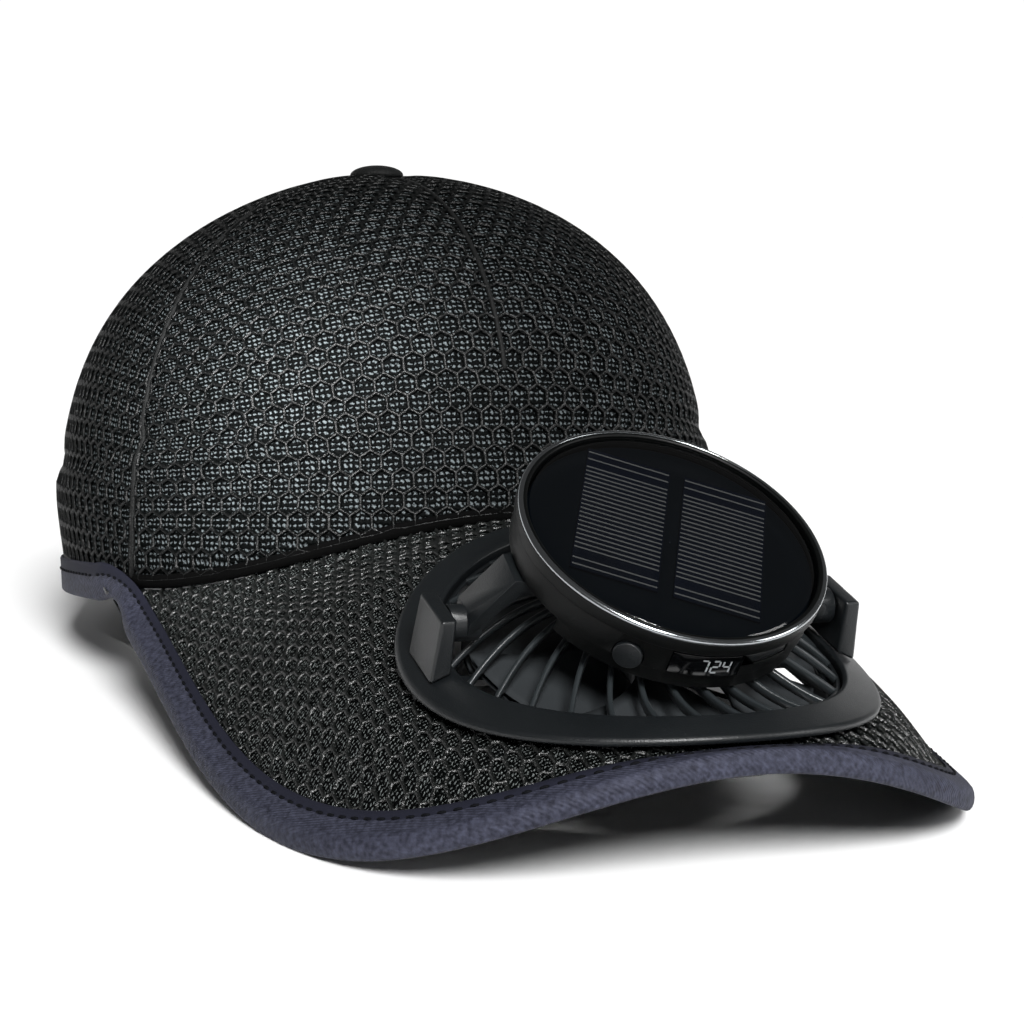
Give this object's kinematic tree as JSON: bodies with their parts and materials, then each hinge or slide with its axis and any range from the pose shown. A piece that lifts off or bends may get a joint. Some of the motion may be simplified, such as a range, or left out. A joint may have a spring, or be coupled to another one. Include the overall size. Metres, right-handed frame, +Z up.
{
  "type": "solar fan cap",
  "caption": "Mesh baseball cap with a ducted fan set in its long visor and a tilting round solar disc on two posts above it.",
  "frame": {"origin": "bottom middle of the box, on the floor the cap rests on", "axes": "+Z up, visor towards -Y, wearer's right towards -X"},
  "size_m": [0.168, 0.3246, 0.127],
  "materials": {
    "mesh": "open knit",
    "tape": "woven tape",
    "band": "soft",
    "plastic": "satin",
    "blades": "satin",
    "glass": "gloss",
    "cell": "gloss",
    "trim": "polished"
  },
  "bodies": {
    "hat": {"front_panel": "mesh", "side_panel_right": "mesh", "side_panel_left": "mesh", "back_panel_right": "mesh", "back_panel_left": "mesh", "top_button": "mesh", "sweatband": "band", "visor": "mesh", "visor_binding": "tape", "hem_binding": "tape", "fan_ring": "plastic", "clamp_ring": "plastic", "guard": "plastic", "motor_mount": "plastic", "post_right": "plastic", "post_left": "plastic"},
    "head": {"pivot_arm_right": "plastic", "pivot_arm_left": "plastic", "housing": "plastic", "trim_ring": "trim", "solar_glass": "glass", "panel_base": "plastic", "solar_cell_right": "cell", "solar_cell_left": "cell", "switch_button": "plastic", "display": "glass", "port_cover": "plastic"},
    "rotor": {"fan_rotor": "blades"}
  },
  "joints": [
    {"name": "head_tilt", "type": "hinge", "parent": "hat", "child": "head", "pos_m": [0, -0.10989, 0.04123], "axis": [-1, 0, 0], "range_deg": [-1, 25]},
    {"name": "fan_spin", "type": "hinge", "parent": "hat", "child": "rotor", "pos_m": [0, -0.11059, 0.04073], "axis": [0, -0.2566, 0.9665], "continuous": true}
  ]
}
